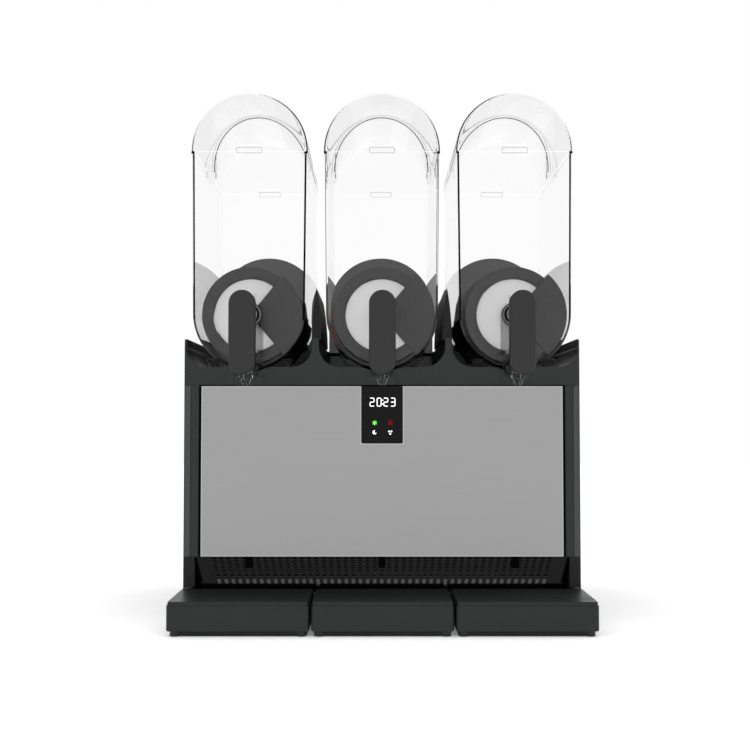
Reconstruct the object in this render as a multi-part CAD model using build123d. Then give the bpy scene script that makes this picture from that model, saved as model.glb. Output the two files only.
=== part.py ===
from build123d import *
import os
from math import acos, atan2, cos, hypot, pi, radians, sin

# Three-bowl slush machine. X runs to the right of someone facing the taps, Y to the back, Z up.
# The origin is on the table, under the middle of the whole machine. All sizes are in millimetres.

# Layout of the machine
module_names = ("left", "middle", "right")
module_pitch = 200
back_reach = 3
overrun = 2
running_fit = 0.06
clearance = 0.3
sheet = 2.5

# Bowls, round at the bottom about the drum axis and leaning out to the rim
axis_z = 458
tray_lead = 126.5
bowl_length = 329
bowl_radius = 84
bowl_wall = 3
front_wall = 3.5
rim_z = 704
rim_half_width = 87.5
lip_reach = 1.2
lip_height = 4
foot_half_width = 64
foot_height = 12
foot_depth = 30
foot_lean = 5

# Lids, straight vaults that lift off
lid_top_z = 794
lid_radius = 88
lid_wall = 2.5
tab_width = 38
tab_height = 9
tab_reach = 5
tab_corner = 1.5
arch_inner_radius = 73
arch_width = 5
arch_depth = 7
arch_foot_set_back = 185
arch_top_set_back = 128
arch_centre_rise = 9
clip_width = 12
clip_rise = 30
clip_drop = 9
clip_depth = 14
clip_tip = 3

# Taps moulded onto the bowl fronts
tap_z = 386
tap_radius = 20.5
tap_bore_radius = 16.5
tap_length = 61
port_radius = 8
port_rise = 2.5
nozzle_reach = 33
collar_radius = 10
collar_height = 7
collar_ear_reach = 12.5
collar_ear_width = 6
nozzle_top_radius = 7.8
nozzle_tip_radius = 5
nozzle_bore_radius = 3.6
nozzle_tip_z = 349.5
cap_face = 5
rod_radius = 4

# Tap handles, their pivot and the piston that they pull
handle_width = 38.2
handle_length = 120.8
handle_bottom_z = 363
handle_reach = 92
handle_thickness = 12
handle_edge = 2
handle_open_angle = 30
pivot_rise = 35
pivot_reach = 71
pivot_pin_radius = 2.5
arm_inner = 5
arm_thickness = 5
arm_radius = 6
arm_post_depth = 9
cheek_gap = 1
cheek_thickness = 3.5
cheek_radius = 7
link_reach = 72.5
link_pin_radius = 2.5
link_play = 1
eye_radius = 4.5
eye_half_width = 4.3
piston_rear_reach = 23.5
piston_length = 12
spring_radius = 8.5
spring_wire = 1.4
spring_turns = 3
coil_steps = 14

# Chilled drums with their gaskets
drum_radius = 55.5
drum_front_set_back = 30
drum_boss_radius = 18
drum_boss_rise = 4.5
drum_peg_radius = 6
drum_peg_height = 31
drum_peg_rise = 4.5
shaft_radius = 6
flange_radius = 79
flange_thickness = 8
gasket_radius = 80.6
gasket_seat_radius = 74
gasket_width = 11

# Augers
ring_inner_radius = 56.5
ring_outer_radius = 73.5
ring_thickness = 4.5
ring_set_back = 20
auger_radius = 78.7
ribbon_width = 12
ribbon_thickness = 4
ribbon_turns = 2
ribbon_gap = 6
hub_radius = 26
hub_thickness = 5
paddle_half_angle = 45
paddle_radius = 79
paddle_thickness = 4
paddle_tilt = 6
nut_radius = 18
nut_thickness = 9
nut_radius_shares = (1, 0.6)
nut_rise_shares = (0.5, 1)

# Saddle cover under the bowls and the fins between them
valley_z = 378
peak_z = 421
cove_width = 31
saddle_drop_z = 351
notch_gap = 2
cover_gap = 0.5
groove_spread = 21.5
groove_width = 1.2
groove_depth = 0.8
fin_set_back = 35
fin_length = 240
fin_base_half_width = 7.5
fin_peak_z = 501
fin_belly_share = 0.72

# Motor housings behind the bowls
housing_width = 185
housing_centre_z = 496
housing_depth = 56
housing_wall = 2.5
shaft_hole_radius = 11
vent_count = 5
vent_width = 60
vent_height = 4
vent_pitch = 10

# Body: front cover, front panel, display, side and rear panels
body_bottom_z = 96
corner_radius = 12
front_return = 40
panel_half_width = 271
panel_top_z = 349
panel_reach = 7
panel_corner = 1.5
display_width = 61
display_height = 85
display_corner = 2
display_gap = 0.4
display_thickness = 6.8
board_gap = 12
board_thickness = 1.6
board_margin = 8
side_sheet = 3
pan_z = 30
pan_rise = 22
louvre_count = 9
louvre_width = 150
louvre_height = 5
louvre_pitch = 16
louvre_hood = 2.5
louvre_bottom_z = 140
foot_pad_radius = 16
foot_pad_inset = 40

# Slanted intake grille and its tabs
grille_top_set_back = 20
grille_bottom_set_back = 95
grille_top_z = 91
grille_bottom_z = 38.5
grille_half_width = 254
recess_side_gap = 11.5
grille_sheet = 1.5
slot_width = 5.5
slot_pitch = 11
slot_start = 8
slot_length = 50
slot_bridge = 3
low_slot_length = 8
tab_set_back = 10.5
pull_tab_width = 10.6
pull_tab_length = 19
pull_tab_thickness = 2
sill_thickness = 2

# Drip trays and their covers
tray_width = 197.5
tray_foot_height = 7.5
tray_foot_radius = 7
tray_foot_inset = 4
tray_corner = 6
tray_wall = 2.5
tray_top_z = 48
tray_cover_thickness = 5.5
tray_cover_inset = 1.5
tray_cover_lip = 4
drain_width = 4
drain_margin = 30
drain_set_back = 12

# Cooling and drive inside the closed body
compressor_radius = 70
compressor_height = 165
compressor_x = -170
compressor_gap = 54
compressor_dome = 35
compressor_foot_height = 12
compressor_foot_radius = 11
compressor_foot_spread = 78
condenser_width = 260
condenser_height = 220
condenser_depth = 50
condenser_x = 90
condenser_gap = 5.4
fin_plate_count = 12
fin_plate_thickness = 2
fin_plate_reach = 8
tube_radius = 5
tube_rows = 2
tube_tail = 9
shroud_depth = 30
shroud_wall = 2
fan_radius = 90
fan_hub_radius = 22
fan_hub_depth = 24
fan_blades_count = 6
fan_blade_thickness = 2
fan_root_width = 22
fan_tip_width = 46
fan_pitch = 25
fan_tip_gap = 4
fan_motor_radius = 26
fan_motor_length = 40
fan_arm_width = 12
fan_shaft_radius = 3
gear_case_width = 96
gear_case_height = 84
gear_case_depth = 26
gear_case_corner = 10
motor_radius = 22
motor_length = 24
motor_offset = 24
inlet_width = 47
inlet_height = 27
inlet_flange = 2.5
inlet_pocket_depth = 12
inlet_pocket_width = 24
inlet_pocket_height = 16
inlet_pin_width = 2
inlet_pin_height = 4
inlet_pin_pitch = 7
inlet_pin_length = 9
inlet_x = 235
inlet_z = 90

# Places worked out from the sizes above
module_count = len(module_names)
module_places = [(index - (module_count - 1) / 2) * module_pitch for index in range(module_count)]
machine_depth = tray_lead + bowl_length + cover_gap + housing_depth + back_reach
machine_front = -machine_depth / 2
machine_back = machine_depth / 2
bowl_front = machine_front + tray_lead
bowl_back = bowl_front + bowl_length
inner_radius = bowl_radius - bowl_wall
inner_rim_half = rim_half_width - lip_reach - bowl_wall
lid_base_z = rim_z + clearance
lid_spring_z = lid_top_z - lid_radius
tap_front = bowl_front - tap_length
cap_front = tap_front - cap_face
nozzle_y = bowl_front - nozzle_reach
collar_top_z = tap_z - tap_radius + lip_reach
collar_bottom_z = collar_top_z - collar_height
handle_front = bowl_front - handle_reach
handle_back = handle_front + handle_thickness
pivot_y = bowl_front - pivot_reach
pivot_z = tap_z + pivot_rise
link_y = bowl_front - link_reach
arm_outer = arm_inner + arm_thickness
cheek_inner = arm_outer + cheek_gap
cheek_outer = cheek_inner + cheek_thickness
cheek_back = cap_front - cheek_gap
link_offset = (link_reach - pivot_reach) * sin(radians(handle_open_angle))
link_drop = (pivot_rise + link_offset) / cos(radians(handle_open_angle))
piston_back = bowl_front - piston_rear_reach
piston_front = piston_back - piston_length
drum_front = bowl_front + drum_front_set_back
ring_front = bowl_front + ring_set_back
ring_back = ring_front + ring_thickness
flange_front = bowl_back - flange_thickness
gasket_front = bowl_back - gasket_width
gasket_seat_y = bowl_back - flange_thickness / 4
ribbon_back = gasket_front - ribbon_gap
paddle_base = (ring_front + ring_back) / 2
hub_front = ring_back - hub_thickness
saddle_front = bowl_front + cover_gap
saddle_back = bowl_back
body_half_width = (module_count - 1) / 2 * module_pitch + foot_half_width + cove_width
recess_half_width = body_half_width - recess_side_gap
housing_front = bowl_back + cover_gap
housing_back = housing_front + housing_depth
panel_front = bowl_front - panel_reach
rear_panel_back = machine_back - louvre_hood
rear_panel_front = rear_panel_back - sheet
pan_front = saddle_front + sheet
pan_back = rear_panel_front
compressor_y = rear_panel_front - compressor_gap - compressor_radius
tray_back = saddle_front - clearance
tray_rim_z = tray_top_z - tray_cover_thickness
pan_top_z = pan_z + sheet
grille_slope = (grille_bottom_set_back - grille_top_set_back) / (grille_top_z - grille_bottom_z)
grille_top_y = bowl_front + grille_top_set_back - grille_slope * (body_bottom_z - grille_top_z)
grille_bottom_y = bowl_front + grille_bottom_set_back + grille_slope * (grille_bottom_z - pan_top_z)
condenser_front_y = grille_bottom_y + condenser_gap
shroud_front_y = condenser_front_y + condenser_depth
fan_z = pan_top_z + condenser_height / 2
fan_front_y = shroud_front_y + fan_tip_gap


# Helpers for outlines and prisms
def block(left, low, right, high):
    return Pos((left + right) / 2, (low + high) / 2) * Rectangle(right - left, high - low)


def disc(x, y, radius):
    return Pos(x, y) * Circle(radius)


def prism_back(outline, front, back):
    return extrude(Plane.XZ.offset(-back) * outline, amount=back - front)


def prism_up(outline, bottom, top):
    return extrude(Plane.XY.offset(bottom) * outline, amount=top - bottom)


def prism_across(outline, left, right):
    return extrude(Plane.YZ.offset(left) * outline, amount=right - left)


def turned_back(points, z=axis_z):
    return Pos(0, 0, z) * revolve(make_face(Polyline(*points, close=True)), Axis.Y)


def turned_up(points):
    return revolve(Plane.XZ * make_face(Polyline(*points, close=True)), Axis.Z)


def both_sides(solid):
    return solid + mirror(solid, Plane.YZ)


def per_module(solid):
    return [Pos(place, 0, 0) * solid for place in module_places]


# Bowl with its tap body
def tub_outline(radius, half_width):
    reach = hypot(half_width, rim_z - axis_z)
    lean = atan2(rim_z - axis_z, half_width) - acos(radius / reach)
    right = (radius * cos(lean), axis_z + radius * sin(lean))
    left = (-right[0], right[1])
    edges = Polyline(left, (-half_width, rim_z), (half_width, rim_z), right)
    edges += ThreePointArc(right, (0, axis_z - radius), left)
    return make_face(edges)


def bowl_foot():
    bottom = valley_z + clearance
    top = bottom + foot_height
    low = foot_half_width - foot_lean
    points = [(-low, bottom), (low, bottom), (foot_half_width, top), (-foot_half_width, top)]
    return prism_back(make_face(Polyline(*points, close=True)), bowl_front, bowl_front + foot_depth)


def tap_arms():
    post = block(tap_front, tap_z, tap_front + arm_post_depth, pivot_z + arm_radius)
    outline = post + block(pivot_y - arm_radius, pivot_z - arm_radius, tap_front, pivot_z + arm_radius)
    outline -= disc(pivot_y, pivot_z, pivot_pin_radius + running_fit)
    return both_sides(prism_across(outline, arm_inner, arm_outer))


def tap_body():
    tube = prism_back(disc(0, tap_z, tap_radius), cap_front, bowl_front)
    collar = prism_up(disc(0, nozzle_y, collar_radius), collar_bottom_z, collar_top_z + lip_reach)
    ears = prism_up(Pos(0, nozzle_y) * Rectangle(2 * collar_ear_reach, collar_ear_width),
                    collar_bottom_z, collar_top_z)
    cone = [(0, nozzle_tip_z), (nozzle_tip_radius, nozzle_tip_z),
            (nozzle_top_radius, collar_bottom_z), (0, collar_bottom_z)]
    return tube + tap_arms() + collar + ears + Pos(0, nozzle_y, 0) * turned_up(cone)


def bowl():
    rim = prism_up(Pos(0, (bowl_front + bowl_back) / 2)
                   * Rectangle(2 * rim_half_width, bowl_length + 2 * lip_reach),
                   rim_z - lip_height, rim_z)
    shell = prism_back(tub_outline(bowl_radius, rim_half_width - lip_reach), bowl_front, bowl_back)
    shell = shell + rim + bowl_foot() + tap_body()
    shell -= prism_back(tub_outline(inner_radius, inner_rim_half),
                        bowl_front + front_wall, bowl_back - bowl_wall)
    shell -= prism_back(disc(0, axis_z, inner_radius), bowl_back - bowl_wall - overrun, bowl_back + overrun)
    shell -= prism_back(disc(0, tap_z, tap_bore_radius), tap_front, bowl_front)
    shell -= prism_back(disc(0, tap_z, rod_radius + running_fit), cap_front - overrun, tap_front)
    shell -= prism_back(disc(0, tap_z + port_rise, port_radius), bowl_front - overrun,
                        bowl_front + front_wall + overrun)
    shell -= prism_up(disc(0, nozzle_y, nozzle_bore_radius), nozzle_tip_z - overrun, tap_z)
    return shell


# Lid with its finger tabs and the leaning arch that clips over the side rims
def vault_outline(radius, base):
    edges = Polyline((-radius, lid_spring_z), (-radius, base), (radius, base), (radius, lid_spring_z))
    edges += ThreePointArc((radius, lid_spring_z), (0, lid_spring_z + radius), (-radius, lid_spring_z))
    return make_face(edges)


def lid_arch():
    centre_z = rim_z + arch_centre_rise
    foot_y = bowl_front + arch_foot_set_back
    top_y = bowl_front + arch_top_set_back
    top_z = centre_z + arch_inner_radius + arch_width
    band = disc(0, centre_z, arch_inner_radius + arch_width) - disc(0, centre_z, arch_inner_radius)
    band = band & block(-lid_radius, centre_z, lid_radius, lid_top_z)
    legs = block(arch_inner_radius, lid_base_z, arch_inner_radius + arch_width, centre_z)
    outline = band + legs + mirror(legs, Plane.YZ)
    slab = Polyline((foot_y, lid_base_z), (foot_y + arch_depth, lid_base_z),
                    (top_y + arch_depth, top_z), (top_y, top_z), close=True)
    return prism_back(outline, top_y - overrun, foot_y + arch_depth + overrun) & prism_across(
        make_face(slab), -lid_radius, lid_radius)


def lid_clips():
    outer = lid_radius - lid_wall
    inner = outer - clip_width
    hook = inner_rim_half - clearance
    points = [(inner, lid_base_z), (hook - clip_tip, rim_z - clip_drop), (hook, rim_z - clip_drop),
              (hook, lid_base_z), (outer + lid_wall / 2, lid_base_z),
              (outer + lid_wall / 2, lid_spring_z), (outer - clip_tip, lid_base_z + clip_rise)]
    foot_y = bowl_front + arch_foot_set_back
    return both_sides(prism_back(make_face(Polyline(*points, close=True)), foot_y, foot_y + clip_depth))


def lid():
    shell = prism_back(vault_outline(lid_radius, lid_base_z), bowl_front, bowl_back)
    shell -= prism_back(vault_outline(lid_radius - lid_wall, lid_base_z - overrun),
                        bowl_front + lid_wall, bowl_back - lid_wall)
    tab = Pos(0, lid_base_z + tab_height / 2) * RectangleRounded(tab_width, tab_height, tab_corner)
    shell += prism_back(tab, bowl_front - tab_reach, bowl_front)
    shell += prism_back(tab, bowl_back, bowl_back + tab_reach)
    return shell + lid_arch() + lid_clips()


# Tap handle, its pin, the piston and the return spring
def tap_handle():
    centre_z = handle_bottom_z + handle_length / 2
    plate = prism_back(Pos(0, centre_z) * Rot(0, 0, 90) * SlotOverall(handle_length, handle_width),
                       handle_front, handle_back)
    plate = chamfer(plate.faces().sort_by(Axis.Y)[0].edges(), handle_edge)
    slot_radius = link_pin_radius + link_play
    slot_top = tap_z + slot_radius
    slot_bottom = pivot_z - link_drop - slot_radius
    cheek = block(handle_back - overrun, slot_bottom - link_pin_radius, cheek_back, pivot_z)
    cheek += block(handle_back - overrun, pivot_z - cheek_radius, pivot_y + cheek_radius,
                   pivot_z + cheek_radius)
    cheek -= disc(pivot_y, pivot_z, pivot_pin_radius)
    cheek -= block(link_y - slot_radius, slot_bottom, link_y + slot_radius, slot_top)
    return plate + both_sides(prism_across(cheek, cheek_inner, cheek_outer))


def handle_pin():
    return prism_across(disc(pivot_y, pivot_z, pivot_pin_radius), -cheek_outer, cheek_outer)


def tap_piston():
    seal_reach = tap_bore_radius - running_fit
    points = [(0, piston_back), (seal_reach, piston_back), (seal_reach, piston_front),
              (rod_radius, piston_front), (rod_radius, link_y), (0, link_y)]
    head = turned_back(points, tap_z)
    eye = prism_across(block(link_y - eye_radius, tap_z - eye_radius, link_y + eye_radius,
                             tap_z + eye_radius), -eye_half_width, eye_half_width)
    return head + eye + prism_across(disc(link_y, tap_z, link_pin_radius), -cheek_outer, cheek_outer)


def return_spring():
    rear = piston_front - spring_wire / 2
    front = tap_front + spring_wire / 2
    steps = coil_steps * spring_turns
    sections = []
    for step in range(steps + 1):
        turn = Rotation(0, 360 * step / coil_steps, 0)
        y = front + (rear - front) * step / steps
        wire = Pos(spring_radius, 0) * Rectangle(spring_wire, spring_wire)
        sections.append(Pos(0, y, tap_z) * turn * wire)
    return loft(sections, ruled=True)


# Chilled drum, the flange that carries the gasket, and the gasket
def drum():
    bore = shaft_radius + running_fit
    points = [(bore, drum_front - drum_boss_rise), (drum_boss_radius, drum_front - drum_boss_rise),
              (drum_boss_radius, drum_front), (drum_radius, drum_front), (drum_radius, flange_front),
              (gasket_seat_radius, flange_front), (gasket_seat_radius, gasket_seat_y),
              (flange_radius, gasket_seat_y), (flange_radius, housing_front), (bore, housing_front)]
    peg = prism_back(disc(0, axis_z + drum_peg_height, drum_peg_radius),
                     drum_front - drum_peg_rise, drum_front + drum_peg_rise)
    return turned_back(points) + peg


def bowl_gasket():
    ring = disc(0, axis_z, gasket_radius) - disc(0, axis_z, gasket_seat_radius)
    return prism_back(ring, gasket_front, gasket_seat_y)


# Auger: front ring, hub and paddle with the ribbon that winds back round the drum, and its shaft
def auger_paddle():
    reach = paddle_radius * (1 - cos(radians(paddle_half_angle)))
    wedge = Polyline((0, 0), (paddle_radius + reach, -paddle_radius - reach),
                     (paddle_radius + reach, paddle_radius + reach), close=True)
    plate = extrude(make_face(wedge) & Circle(paddle_radius), amount=paddle_thickness)
    return Pos(0, paddle_base, axis_z) * Rot(90, 0, 0) * plate.rotate(
        Axis((0, 0, 0), (1, -1, 0)), paddle_tilt)


def auger_flight():
    middle = auger_radius - ribbon_width / 2
    steps = coil_steps * ribbon_turns
    sections = []
    for step in range(steps + 1):
        turn = Rotation(0, 360 * step / coil_steps, 0)
        y = paddle_base + (ribbon_back - paddle_base) * step / steps
        ribbon = Pos(middle, 0) * Rectangle(ribbon_width, ribbon_thickness)
        sections.append(Pos(0, y, axis_z) * turn * ribbon)
    return loft(sections, ruled=True)


def auger():
    bore = disc(0, axis_z, shaft_radius + running_fit)
    ring = disc(0, axis_z, ring_outer_radius) - disc(0, axis_z, ring_inner_radius)
    body = prism_back(ring, ring_front, ring_back)
    body += prism_back(disc(0, axis_z, hub_radius), hub_front, ring_back)
    body += auger_paddle()
    body -= prism_back(bore, hub_front - overrun, ring_back + overrun)
    body -= prism_back(disc(0, axis_z, nut_radius + clearance), hub_front - module_pitch, hub_front)
    return body + auger_flight()


def drive_shaft():
    tail = housing_front + housing_wall
    shaft = prism_back(disc(0, axis_z, shaft_radius), hub_front, tail)
    for radius_share, rise_share in zip(nut_radius_shares, nut_rise_shares):
        step = disc(0, axis_z, nut_radius * radius_share)
        shaft += prism_back(step, hub_front - nut_thickness * rise_share, hub_front)
    return shaft


# Saddle cover, a shell with the bowl notches and front grooves
def cove(valley_x, peak_x, bottom_z):
    reach = abs(peak_x - valley_x)
    slant = cos(pi / 4)
    middle = (valley_x + (peak_x - valley_x) * slant, bottom_z + reach * (1 - slant))
    arc = ThreePointArc((valley_x, bottom_z), middle, (peak_x, bottom_z + reach))
    return [arc, Line((peak_x, bottom_z + reach), (peak_x, peak_z))]


def saddle_outline(inset):
    half = body_half_width + inset
    bottom_z = valley_z - inset
    edges = Polyline((half, peak_z), (half, saddle_drop_z), (-half, saddle_drop_z), (-half, peak_z)).edges()
    for place in module_places:
        for side in (-1, 1):
            valley = place + side * foot_half_width
            edges += cove(valley, valley + side * (cove_width + inset), bottom_z)
        edges.append(Line((place - foot_half_width, bottom_z), (place + foot_half_width, bottom_z)))
    for place in module_places[1:]:
        half_top = module_pitch / 2 - foot_half_width - cove_width - inset
        middle = place - module_pitch / 2
        edges.append(Line((middle - half_top, peak_z), (middle + half_top, peak_z)))
    outline = make_face(edges)
    for place in module_places:
        outline -= disc(place, axis_z, bowl_radius + notch_gap + inset)
    return outline


def top_cover():
    cover = prism_back(saddle_outline(0), saddle_front, saddle_back)
    inside = saddle_outline(sheet / 2) & block(sheet - body_half_width, saddle_drop_z,
                                               body_half_width - sheet, peak_z - sheet)
    inside += block(sheet - body_half_width, saddle_drop_z - overrun,
                    body_half_width - sheet, saddle_drop_z + sheet)
    cover -= prism_back(inside, saddle_front + sheet, saddle_back - sheet)
    for place in module_places:
        for side in (-1, 1):
            x = place + side * groove_spread
            groove = block(x - groove_width / 2, saddle_drop_z - overrun, x + groove_width / 2, axis_z)
            cover -= prism_back(groove, saddle_front - overrun, saddle_front + groove_depth)
    return cover


def bowl_dividers():
    half = fin_base_half_width
    belly = half * fin_belly_share
    middle_z = (peak_z + fin_peak_z) / 2
    edges = Line((-half, peak_z), (half, peak_z))
    edges += ThreePointArc((half, peak_z), (belly, middle_z), (0, fin_peak_z))
    edges += ThreePointArc((0, fin_peak_z), (-belly, middle_z), (-half, peak_z))
    front = bowl_front + fin_set_back
    fin = prism_back(make_face(edges), front, front + fin_length)
    return [Pos(place - module_pitch / 2, 0, 0) * fin for place in module_places[1:]]


# Motor housings, one moulding with the rear deck
def hood_outline(radius, base):
    whole_outline = disc(0, housing_centre_z, radius) + block(-radius, base, radius, housing_centre_z)
    return whole_outline & block(-radius, base, radius, housing_centre_z + radius)


def motor_housings():
    radius = housing_width / 2
    deck = block(-body_half_width, housing_front, body_half_width, housing_back)
    shell = prism_up(deck, peak_z - sheet, peak_z)
    for place in module_places:
        shell += Pos(place, 0, 0) * prism_back(hood_outline(radius, peak_z), housing_front, housing_back)
    for place in module_places:
        inside = hood_outline(radius - housing_wall, peak_z - sheet - overrun)
        shell -= Pos(place, 0, 0) * prism_back(inside, housing_front + housing_wall,
                                               housing_back - housing_wall)
        shell -= prism_back(disc(place, axis_z, shaft_hole_radius), housing_front - overrun,
                            housing_front + housing_wall + overrun)
        for row in range(vent_count):
            z = housing_centre_z + (row - (vent_count - 1) / 2) * vent_pitch
            slot = Pos(place, z) * Rectangle(vent_width, vent_height)
            shell -= prism_back(slot, housing_back - housing_wall - overrun, housing_back + overrun)
    return shell


def gearmotor():
    case_front = housing_front + housing_wall
    case_back = case_front + gear_case_depth
    outline = chamfer((Pos(0, axis_z) * Rectangle(gear_case_width, gear_case_height)).vertices(),
                      gear_case_corner)
    case = prism_back(outline, case_front, case_back)
    case += prism_back(disc(0, axis_z + motor_offset, motor_radius), case_back, case_back + motor_length)
    return case


# Body front: cover with rounded corners, bright panel, display and control board
def front_cover():
    back = saddle_front + front_return
    outer = block(-body_half_width, saddle_front, body_half_width, back)
    outer = fillet(outer.vertices().sort_by(Axis.Y)[:2], corner_radius)
    inner = block(sheet - body_half_width, saddle_front + sheet, body_half_width - sheet, back + overrun)
    inner = fillet(inner.vertices().sort_by(Axis.Y)[:2], corner_radius - sheet)
    cover = prism_up(outer - inner, pan_z, saddle_drop_z)
    recess = block(-recess_half_width, pan_z - overrun, recess_half_width, body_bottom_z)
    cover -= prism_back(recess, saddle_front - overrun, saddle_front + sheet + overrun)
    sill = block(-recess_half_width, saddle_front, recess_half_width, grille_top_y + tab_set_back)
    cover += prism_up(sill, body_bottom_z, body_bottom_z + sill_thickness)
    for side in (-1, 1):
        ends = sorted((side * recess_half_width, side * (recess_half_width + sheet)))
        cheek = block(ends[0], saddle_front, ends[1], back) & outer
        cover += prism_up(cheek, pan_top_z, body_bottom_z + sill_thickness)
    window = block(-display_width / 2 + board_margin, panel_top_z - display_height + board_margin,
                   display_width / 2 - board_margin, panel_top_z - board_margin)
    return cover - prism_back(window, saddle_front - overrun, saddle_front + sheet + overrun)


def display_place(margin, top_z):
    half = display_width / 2 + margin
    bottom = panel_top_z - display_height - margin
    outline = block(-half, bottom, half, top_z)
    return fillet(outline.vertices().sort_by(Axis.Y)[:2], display_corner + margin)


def front_panel():
    centre_z = (body_bottom_z + panel_top_z) / 2
    height = panel_top_z - body_bottom_z
    outline = Pos(0, centre_z) * RectangleRounded(2 * panel_half_width, height, panel_corner)
    panel = prism_back(outline, panel_front, saddle_front)
    panel = chamfer(panel.faces().sort_by(Axis.Y)[0].edges(), panel_corner / 2)
    hollow = Pos(0, centre_z) * Rectangle(2 * panel_half_width - 2 * sheet, height - 2 * sheet)
    panel -= prism_back(hollow, panel_front + sheet, saddle_front + overrun)
    return panel - prism_back(display_place(display_gap, panel_top_z + overrun),
                              panel_front - overrun, saddle_front + overrun)


def display_glass():
    return prism_back(display_place(0, panel_top_z), saddle_front - display_thickness, saddle_front)


def control_board():
    front = saddle_front + sheet + board_gap
    centre_z = panel_top_z - display_height / 2
    half_width = display_width / 2 + board_margin
    half_height = display_height / 2 + board_margin
    board = prism_back(block(-half_width, centre_z - half_height, half_width, centre_z + half_height),
                       front, front + board_thickness)
    for x in (board_margin / 2 - half_width, half_width - board_margin / 2):
        for z in (centre_z - half_height + board_margin / 2, centre_z + half_height - board_margin / 2):
            post = Pos(x, z) * Rectangle(board_margin / 2, board_margin / 2)
            board += prism_back(post, saddle_front + sheet, front)
    display_block = block(-display_width / 4, centre_z, display_width / 4, centre_z + display_height / 4)
    return board + prism_back(display_block, saddle_front + sheet + board_gap / 2, front)


# Side and rear panels, base pan, feet and power inlet
def side_panel(side):
    ends = sorted((side * body_half_width, side * (body_half_width + side_sheet)))
    front = saddle_front + corner_radius
    outline = block(front, pan_z, rear_panel_back, peak_z)
    outline = fillet(outline.vertices().sort_by(Axis.X)[:2], corner_radius / 2)
    panel = prism_across(outline, *ends)
    for row in range(louvre_count):
        z = louvre_bottom_z + row * louvre_pitch
        slot = Pos(compressor_y, z) * Rectangle(louvre_width, louvre_height)
        panel -= prism_across(slot, ends[0] - overrun, ends[1] + overrun)
    return panel


def rear_panel():
    panel = prism_back(block(-body_half_width, pan_z, body_half_width, peak_z - sheet),
                       rear_panel_front, rear_panel_back)
    for x in (compressor_x, condenser_x):
        for row in range(louvre_count):
            z = louvre_bottom_z + row * louvre_pitch
            slot = block(x - louvre_width / 2, z, x + louvre_width / 2, z + louvre_height)
            panel -= prism_back(slot, rear_panel_front - overrun, rear_panel_back + overrun)
            top = z + louvre_height + louvre_hood
            hood = Polyline((rear_panel_front, top), (machine_back, z + louvre_hood), (machine_back, z),
                            (rear_panel_back, z + louvre_height - louvre_hood / 2),
                            (rear_panel_front, z + louvre_height), close=True)
            panel += prism_across(make_face(hood), x - louvre_width / 2, x + louvre_width / 2)
    body = Rectangle(inlet_width - 2 * inlet_flange, inlet_height - 2 * inlet_flange)
    return panel - prism_back(Pos(inlet_x, inlet_z) * body, rear_panel_front - overrun,
                              rear_panel_back + overrun)


def power_inlet():
    place = Pos(inlet_x, inlet_z)
    flange = place * RectangleRounded(inlet_width, inlet_height, inlet_flange)
    socket = prism_back(flange, rear_panel_back, machine_back)
    body = place * Rectangle(inlet_width - 2 * inlet_flange, inlet_height - 2 * inlet_flange)
    socket += prism_back(body, machine_back - inlet_pocket_depth - 2 * inlet_flange, rear_panel_back)
    pocket = place * RectangleRounded(inlet_pocket_width, inlet_pocket_height, inlet_flange)
    socket -= prism_back(pocket, machine_back - inlet_pocket_depth, machine_back + overrun)
    for column in (-1, 0, 1):
        z = inlet_z + (inlet_pin_height / 2 if column == 0 else -inlet_pin_height / 2)
        pin = Pos(inlet_x + column * inlet_pin_pitch, z) * Rectangle(inlet_pin_width, inlet_pin_height)
        bottom = machine_back - inlet_pocket_depth
        socket += prism_back(pin, bottom - inlet_flange, bottom + inlet_pin_length)
    return socket


def base_pan():
    half = body_half_width - sheet
    floor = block(-half, pan_front, half, pan_back)
    floor = fillet(floor.vertices().sort_by(Axis.Y)[:2], corner_radius - sheet)
    well = block(sheet - half, pan_front - overrun, half - sheet, pan_back - sheet)
    pan = prism_up(floor, pan_z, pan_z + pan_rise) - prism_up(well, pan_top_z, pan_z + pan_rise + overrun)
    stop = block(-recess_half_width, saddle_front, recess_half_width, pan_front)
    return pan + prism_up(stop, pan_z, tray_rim_z)


def machine_feet():
    pad = prism_up(Circle(foot_pad_radius), 0, pan_z)
    spots = [(x, y) for x in (foot_pad_inset - body_half_width, body_half_width - foot_pad_inset)
             for y in (saddle_front + foot_pad_inset, rear_panel_front - foot_pad_inset)]
    return [Pos(x, y, 0) * pad for x, y in spots]


# Slanted intake grille, punched in a tall row of slots over a short one, and its pull tabs
def intake_grille():
    run = grille_bottom_y - grille_top_y
    drop = body_bottom_z - pan_top_z
    thick = grille_sheet * hypot(run, drop) / drop
    side = Polyline((grille_top_y, body_bottom_z), (grille_top_y + thick, body_bottom_z),
                    (grille_bottom_y + thick, pan_top_z), (grille_bottom_y, pan_top_z), close=True)
    plate = prism_across(make_face(side), -recess_half_width, recess_half_width)
    lean = Plane(origin=(0, grille_top_y, body_bottom_z), x_dir=(1, 0, 0), z_dir=(0, drop, run))
    columns = int(grille_half_width / slot_pitch)
    low_start = slot_start + slot_length + slot_bridge
    slots = [Pos(column * slot_pitch, start + length / 2) * Rectangle(slot_width, length)
             for start, length in ((slot_start, slot_length), (low_start, low_slot_length))
             for column in range(-columns, columns + 1)]
    return plate - extrude(lean.offset(-overrun) * (Sketch() + slots), amount=grille_sheet + 2 * overrun)


def pull_tabs():
    y = bowl_front + tab_set_back
    outline = Pos(0, body_bottom_z - pull_tab_length / 2) * Rectangle(pull_tab_width, pull_tab_length)
    outline = chamfer(outline.vertices(), pull_tab_thickness)
    tab = prism_back(outline, y, y + pull_tab_thickness)
    return per_module(tab)


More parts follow.
